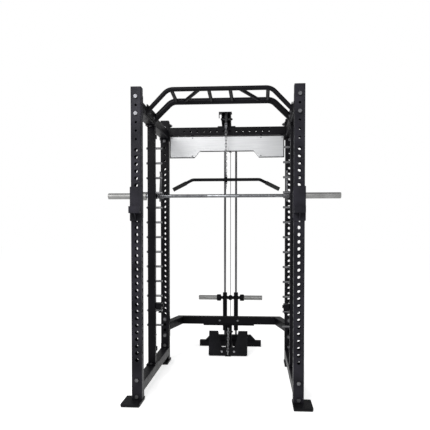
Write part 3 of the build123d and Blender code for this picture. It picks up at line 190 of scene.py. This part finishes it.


def powder_coat(name, dark, light, grain, depth, rough):
    """Black powder coat: fine orange peel, faint clouding, light scuffs and worn edges."""
    material, tree, shader, place = start_material(name, 0.0, 0.06)
    cloud = noise(tree, place, 5.0, 5.0)
    colour = colour_between(tree, cloud, dark, light)
    scuff = ranged(tree, noise(tree, place, 60.0, 4.0, (1.0, 1.0, 0.12)), 0.66, 0.74, 0.0, 0.25)
    colour = mixed(tree, scuff, colour, (0.022, 0.022, 0.025))
    patches = ranged(tree, noise(tree, place, 90.0), 0.45, 0.7, 0.0, 0.5)
    worn = combined(tree, "MULTIPLY", edge_mask(tree, WEAR_RADIUS), patches)
    colour = mixed(tree, worn, colour, (0.045, 0.045, 0.048))
    tree.links.new(colour, shader.inputs["Base Color"])
    gloss = ranged(tree, noise(tree, place, 35.0, 3.0), 0.3, 0.7, rough - 0.05, rough + 0.08)
    tree.links.new(gloss, shader.inputs["Roughness"])
    bumped(tree, shader, noise(tree, place, grain, 2.0), depth)
    return material


def bare_metal(name, dark, light, rough, stretch=(1.0, 1.0, 1.0), spangle=40.0):
    """Plated steel: cloudy plating, fine drawn lines along one way and smudges in the gloss."""
    material, tree, shader, place = start_material(name, 1.0)
    colour = colour_between(tree, noise(tree, place, spangle, 3.0), dark, light)
    tree.links.new(colour, shader.inputs["Base Color"])
    smudge = ranged(tree, noise(tree, place, 14.0, 4.0), 0.3, 0.7, rough - 0.05, rough + 0.1)
    tree.links.new(smudge, shader.inputs["Roughness"])
    bumped(tree, shader, noise(tree, place, 500.0, 2.0, stretch), 0.00002)
    return material


def knurled_bar(name):
    """Chromed bar with diamond knurling where the hands go and smooth stretches between."""
    material, tree, shader, place = start_material(name, 1.0)
    away = from_middle(tree, place)
    past_start = ranged(tree, away, GRIP_FROM - 0.005, GRIP_FROM, 0.0, 1.0)
    before_end = ranged(tree, away, GRIP_TO + 0.005, GRIP_TO, 0.0, 1.0)
    hands = combined(tree, "MULTIPLY", past_start, before_end)
    ridge = []
    for turn in (KNURL_TURN, -KNURL_TURN):
        mapping = add_node(tree, "ShaderNodeMapping", Vector=place, Rotation=(0.0, 0.0, turn))
        wave = add_node(tree, "ShaderNodeTexWave", Vector=mapping.outputs[0], Scale=170.0)
        ridge.append(wave.outputs["Fac"])
    diamonds = combined(tree, "MULTIPLY", ridge[0], ridge[1])
    height = combined(tree, "MULTIPLY", diamonds, hands)
    colour = colour_between(tree, noise(tree, place, 25.0, 3.0), (0.13, 0.135, 0.145), (0.24, 0.245, 0.255))
    # painted shade: the grooves between the knurl diamonds are darkened
    shade = combined(tree, "MULTIPLY", hands, combined(tree, "SUBTRACT", 1.0, diamonds))
    colour = mixed(tree, combined(tree, "MULTIPLY", shade, 0.5), colour, (0.05, 0.05, 0.053))
    tree.links.new(colour, shader.inputs["Base Color"])
    tree.links.new(ranged(tree, hands, 0.0, 1.0, 0.2, 0.36), shader.inputs["Roughness"])
    bumped(tree, shader, height, 0.0005)
    return material


def rubber(name, grain, depth):
    """Matte black rubber with a fine pebble and dusty patches."""
    material, tree, shader, place = start_material(name, 0.0, 0.15)
    colour = colour_between(tree, noise(tree, place, 9.0, 5.0), (0.006, 0.006, 0.006), (0.02, 0.02, 0.02))
    tree.links.new(colour, shader.inputs["Base Color"])
    tree.links.new(ranged(tree, noise(tree, place, 50.0), 0.3, 0.7, 0.6, 0.8), shader.inputs["Roughness"])
    cells = add_node(tree, "ShaderNodeTexVoronoi", Vector=place, Scale=grain)
    bumped(tree, shader, cells.outputs["Distance"], depth)
    return material


def plastic(name):
    """Moulded black plastic with a light spark-eroded texture."""
    material, tree, shader, place = start_material(name, 0.0, 0.2)
    colour = colour_between(tree, noise(tree, place, 12.0, 3.0), (0.009, 0.009, 0.01), (0.02, 0.02, 0.021))
    tree.links.new(colour, shader.inputs["Base Color"])
    tree.links.new(ranged(tree, noise(tree, place, 80.0), 0.3, 0.7, 0.4, 0.55), shader.inputs["Roughness"])
    bumped(tree, shader, noise(tree, place, 1200.0), 0.0002)
    return material


def cable_coat(name):
    """Nylon-coated wire rope: the strands show faintly through the coat."""
    material, tree, shader, place = start_material(name, 0.0, 0.5, 0.3)
    twist = add_node(tree, "ShaderNodeMapping", Vector=place, Rotation=(0.5, 0.6, 0.0))
    strands = add_node(tree, "ShaderNodeTexWave", Vector=twist.outputs[0], Scale=90.0, Distortion=0.4)
    colour = colour_between(tree, strands.outputs["Fac"], (0.018, 0.018, 0.019), (0.05, 0.05, 0.052))
    tree.links.new(colour, shader.inputs["Base Color"])
    tree.links.new(ranged(tree, noise(tree, place, 60.0), 0.3, 0.7, 0.25, 0.4), shader.inputs["Roughness"])
    bumped(tree, shader, strands.outputs["Fac"], 0.0004)
    return material


def silver_panel(name):
    """Satin silver sheet with faint level brushing, and painted shade that makes it greyer towards its ends.
    """
    material, tree, shader, place = start_material(name, 0.1, 0.4, 0.1)
    brushing = noise(tree, place, 160.0, 4.0, (0.03, 1.0, 1.0))
    colour = colour_between(tree, brushing, (0.50, 0.505, 0.515), (0.62, 0.625, 0.635))
    away = from_middle(tree, place)
    # painted shade: the panel's colour turns greyer towards its ends
    painted_end_shade = ranged(tree, away, PANEL_SHADE_FROM, PANEL_SHADE_TO, 0.0, 0.6)
    colour = mixed(tree, painted_end_shade, colour, (0.36, 0.365, 0.375))
    tree.links.new(colour, shader.inputs["Base Color"])
    tree.links.new(ranged(tree, brushing, 0.3, 0.7, 0.3, 0.42), shader.inputs["Roughness"])
    bumped(tree, shader, brushing, 0.0001)
    return material


ALONG_X = (0.05, 1.0, 1.0)       # stretches a pattern along the bars
ALONG_Z = (1.0, 1.0, 0.04)       # stretches a pattern up the rods

FINISHES = {
    "black_powder_coat": powder_coat("powder_coat", (0.0022, 0.0022, 0.0028), (0.006, 0.0056, 0.0075),
                                     grain=900.0, depth=0.0003, rough=0.4),
    "textured_black": powder_coat("wrinkle_coat", (0.0025, 0.0025, 0.003), (0.008, 0.008, 0.010),
                                  grain=420.0, depth=0.0009, rough=0.5),
    "silver_panel": silver_panel("silver_panel"),
    "zinc_steel": bare_metal("zinc_plate", (0.09, 0.09, 0.095), (0.16, 0.16, 0.17), rough=0.42),
    "chrome_steel": bare_metal("chrome_plate", (0.25, 0.25, 0.245), (0.31, 0.31, 0.305),
                               rough=0.55, stretch=ALONG_X, spangle=8.0),
    "chain_steel": bare_metal("chain_zinc", (0.12, 0.12, 0.125), (0.30, 0.30, 0.31),
                              rough=0.38, spangle=120.0),
    "black_rubber": rubber("rubber", 380.0, 0.0004),
    "black_plastic": plastic("plastic"),
    "coated_cable": cable_coat("cable_coat"),
}
GUIDE_ROD = bare_metal("guide_rod_chrome", (0.07, 0.07, 0.075), (0.14, 0.14, 0.145),
                       rough=0.2, stretch=ALONG_Z, spangle=6.0)
BLACK_OXIDE = bare_metal("black_oxide", (0.02, 0.02, 0.021), (0.045, 0.045, 0.047), rough=0.35)
# lighter copy of the black powder coat for the front uprights and J-cups: painted light, standing in for the
# light falling on them; its coarser grain is bump
LIT_UPRIGHT_COAT = powder_coat("upright_coat_painted_light", (0.005, 0.005, 0.0065), (0.022, 0.021, 0.027),
                           grain=260.0, depth=0.0010, rough=0.38)
OWN_FINISH = {
    "upright_front_left": LIT_UPRIGHT_COAT,
    "upright_front_right": LIT_UPRIGHT_COAT,
    "jcup_left": LIT_UPRIGHT_COAT,
    "jcup_right": LIT_UPRIGHT_COAT,
    "frame_washers": BLACK_OXIDE,
    "pulley_axles": BLACK_OXIDE,
    "smith_bar": knurled_bar("knurled_chrome"),
    "lat_bar_grips": rubber("grip_rubber", 620.0, 0.0007),
    "guide_rods": GUIDE_ROD,
    "smith_pegs": bare_metal("peg_steel", (0.10, 0.10, 0.105), (0.17, 0.17, 0.175),
                             rough=0.4, stretch=(0.1, 1.0, 1.0)),
    "lat_guide_rods": GUIDE_ROD,
}


def dress(piece, material):
    """Put one material in every slot of a piece."""
    if not piece.data.materials:
        piece.data.materials.append(material)
    for index in range(len(piece.data.materials)):
        piece.data.materials[index] = material


for subpart in frame["record"]["subparts"]:
    name = subpart["node"]
    dress(nodes[name], OWN_FINISH.get(name, FINISHES[subpart["material_slot"]]))


# ---------------------------------------------------------------- pieces made here
def mesh_piece(name, points, faces, body, slot):
    """Mesh piece that takes its finish from a slot; body is None for a piece that is attached to no body."""
    mesh = bpy.data.meshes.new(name)
    mesh.from_pydata(points, [], faces)
    mesh.update()
    for polygon in mesh.polygons:
        polygon.use_smooth = len(polygon.vertices) == 4 and body is None
    piece = bpy.data.objects.new(name, mesh)
    bpy.context.scene.collection.objects.link(piece)
    dress(piece, FINISHES[slot])
    if body is not None:
        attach(piece, body)
    return piece


CABLE_SIDES = 16
CABLE_RINGS = 60


def upright_cable(node):
    """Vertical cable with rings all along it, running between the frame and a body, in place of the CAD
    cable.
    """
    low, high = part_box(node)
    x, y = (low.x + high.x) / 2, (low.y + high.y) / 2
    radius = (high.x - low.x) / 2
    points = []
    for ring in range(CABLE_RINGS + 1):
        z = low.z + (high.z - low.z) * ring / CABLE_RINGS
        for side in range(CABLE_SIDES):
            angle = math.tau * side / CABLE_SIDES
            points.append((x + radius * math.cos(angle), y + radius * math.sin(angle), z))
    faces = [tuple(range(CABLE_SIDES))[::-1], tuple(range(CABLE_RINGS * CABLE_SIDES, len(points)))]
    for ring in range(CABLE_RINGS):
        for side in range(CABLE_SIDES):
            here = ring * CABLE_SIDES + side
            beside = ring * CABLE_SIDES + (side + 1) % CABLE_SIDES
            faces.append((here, beside, beside + CABLE_SIDES, here + CABLE_SIDES))
    cable = mesh_piece(node + "_stretching", points, faces, None, "coated_cable")
    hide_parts(node)
    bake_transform(cable)
    return cable


upright_cable("weight_cable")
upright_cable("low_cable")
upright_cable("lat_cable")

# short cut marks beside the pin rows of the front uprights, one between each two holes
MARK_SIZE = (0.010, 0.005)
MARK_ASIDE = 0.021
MARK_RAISE = 0.0002
PIN_TOP, PIN_PITCH, PIN_GAPS = 1.805, 0.05, 30


def hole_marks(node, skip):
    """Row of small flat marks on the front face of an upright."""
    low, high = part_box(node)
    x = (low.x + high.x) / 2 + MARK_ASIDE
    points, faces = [], []
    for row in range(PIN_GAPS):
        z = PIN_TOP - PIN_PITCH * (row + 0.5)
        if skip[0] < z < skip[1]:
            continue
        first = len(points)
        for across in (-0.5, 0.5):
            for up in (-0.5, 0.5):
                for y in (low.y - MARK_RAISE, low.y):
                    points.append((x + across * MARK_SIZE[0], y, z + up * MARK_SIZE[1]))
        a, b, c, d, e, f, g, h = range(first, first + 8)
        faces += [(a, e, g, c), (b, d, h, f), (a, b, f, e), (c, g, h, d), (a, c, d, b), (e, f, h, g)]
    return mesh_piece(node + "_marks", points, faces, "frame", "black_plastic")


for side in ("left", "right"):
    cup_low, cup_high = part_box("jcup_" + side)
    hole_marks("upright_front_" + side, (cup_low.z - 0.01, cup_high.z + 0.01))


# dark edging round the front of the header panel, following its stepped lower edge
EDGING = 0.009
EDGING_RAISE = 0.0006
STEP_OUT, STEP_IN = 0.297, 0.250      # half widths where the lower edge starts and ends its step
STEP_RISE = 0.057                     # how far the middle of the lower edge is above its ends


def panel_edging():
    """Thin dark frame just proud of the panel's front face."""
    low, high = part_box("header_panel")
    middle_z = low.z + STEP_RISE
    slope = EDGING * 0.5
    outer = [(low.x, high.z), (low.x, low.z), (-STEP_OUT, low.z), (-STEP_IN, middle_z), (STEP_IN, middle_z),
             (STEP_OUT, low.z), (high.x, low.z), (high.x, high.z)]
    left, right = low.x + EDGING, high.x - EDGING
    below, above, over_step = low.z + EDGING, high.z - EDGING, middle_z + EDGING
    inner = [(left, above), (left, below), (slope - STEP_OUT, below), (slope - STEP_IN, over_step),
             (STEP_IN - slope, over_step), (STEP_OUT - slope, below), (right, below), (right, above)]
    count = len(outer)
    points = [(x, y, z) for y in (low.y - EDGING_RAISE, low.y) for ring in (outer, inner) for x, z in ring]
    faces = []
    for k in range(count):
        n = (k + 1) % count
        front = (k, n, count + n, count + k)
        faces.append(front)
        faces.append(tuple(index + 2 * count for index in front[::-1]))
        faces.append((n, k, 2 * count + k, 2 * count + n))
        faces.append((count + k, count + n, 3 * count + n, 3 * count + k))
    mesh_piece("panel_edging", points, faces, "frame", "black_plastic")


panel_edging()


# ---------------------------------------------------------------- floor and light
SKY_LIGHT = 0.45        # strength of the white surround as light; it is seen at full white
FLOOR_GLOW = 0.58       # the floor is lit from under, like a light table, so that it meets the white surround
FLOOR_REACH = 30.0


def pale_floor():
    """Large pale floor with the faintest unevenness."""
    mesh = bpy.data.meshes.new("floor")
    corners = [(x * FLOOR_REACH, y * FLOOR_REACH, 0) for x, y in ((-1, -1), (1, -1), (1, 1), (-1, 1))]
    mesh.from_pydata(corners, [], [(0, 1, 2, 3)])
    floor = bpy.data.objects.new("floor", mesh)
    bpy.context.scene.collection.objects.link(floor)
    material, tree, shader, place = start_material("floor", 0.0, 0.1)
    colour = colour_between(tree, noise(tree, place, 2.0), (0.93, 0.93, 0.93), (0.95, 0.95, 0.95))
    tree.links.new(colour, shader.inputs["Base Color"])
    shader.inputs["Roughness"].default_value = 0.9
    shader.inputs["Emission Color"].default_value = (1.0, 1.0, 1.0, 1.0)
    shader.inputs["Emission Strength"].default_value = FLOOR_GLOW
    dress(floor, material)


def area_light(name, place, target, size, power, spread=math.pi):
    """Soft square light aimed at a point."""
    data = bpy.data.lights.new(name, "AREA")
    data.size = size
    data.energy = power
    data.spread = spread
    light = bpy.data.objects.new(name, data)
    light.location = place
    aim = [t - p for t, p in zip(target, place)]
    flat = math.hypot(aim[0], aim[1])
    light.rotation_euler = (math.pi / 2 + math.atan2(aim[2], flat), 0.0, math.atan2(-aim[0], aim[1]))
    bpy.context.scene.collection.objects.link(light)


pale_floor()
world = bpy.data.worlds.new("studio")
world.use_nodes = True
sky = world.node_tree
backdrop = sky.nodes["Background"]
backdrop.inputs["Color"].default_value = (1.0, 1.0, 1.0, 1.0)
seen = sky.nodes.new("ShaderNodeLightPath").outputs["Is Camera Ray"]
sky.links.new(ranged(sky, seen, 0.0, 1.0, SKY_LIGHT, 1.0), backdrop.inputs["Strength"])
bpy.context.scene.world = world

KEY_SPREAD = math.radians(110)
area_light("key", place=(-1.2, -3.8, 3.4), target=(-0.4, -0.9, 1.9), size=2.2, power=62.0, spread=KEY_SPREAD)
area_light("fill", place=(3.0, -3.0, 3.5), target=(0.4, 0.0, 1.2), size=2.5, power=25.0)
